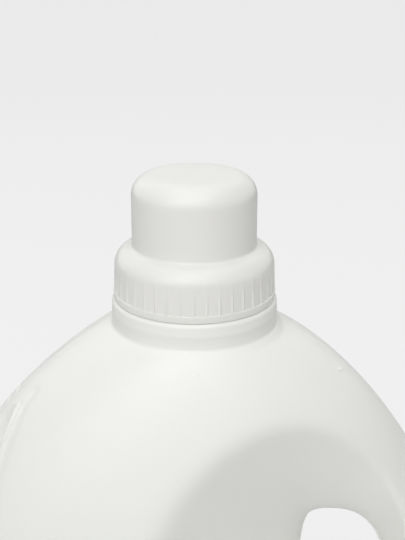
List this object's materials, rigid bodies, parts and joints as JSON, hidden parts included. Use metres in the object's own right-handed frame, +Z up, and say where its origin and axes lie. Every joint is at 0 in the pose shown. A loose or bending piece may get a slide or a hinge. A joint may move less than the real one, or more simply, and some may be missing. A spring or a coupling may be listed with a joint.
{
  "type": "laundry detergent bottle",
  "caption": "Blow-moulded laundry jug with a pass-through side handle, a ribbed side grip, a pouring insert and a screw-on dosing cap with a measuring cup on top.",
  "frame": {"origin": "on the surface that the bottle stands on, midway along its width and depth", "axes": "+Z up along the neck, +X towards the handle, -Y towards the viewer of the front face"},
  "size_m": [0.2064, 0.1156, 0.2848],
  "materials": {
    "blown_plastic": "satin white, blow-moulded",
    "moulded_plastic": "smooth satin white, injection-moulded",
    "insert_plastic": "natural translucent white",
    "seal_foam": "soft matt ring"
  },
  "bodies": {
    "bottle_body": {"bottle": "blown_plastic", "pour_spout": "insert_plastic"},
    "seal_carrier": {"cap_seal": "seal_foam"},
    "cap_body": {"dosing_cap": "moulded_plastic"}
  },
  "joints": [
    {"name": "cap_lift", "type": "slide", "parent": "bottle_body", "child": "seal_carrier", "axis": [0, 0, 1], "range_m": [0, 0.048]},
    {"name": "cap_turn", "type": "hinge", "parent": "seal_carrier", "child": "cap_body", "pos_m": [0, 0, 0.25], "axis": [0, 0, 1], "range_deg": [0, 1730]}
  ],
  "couplings": [
    {"joint": "cap_turn", "follows": "cap_lift", "rad_per_m": 628.32}
  ]
}
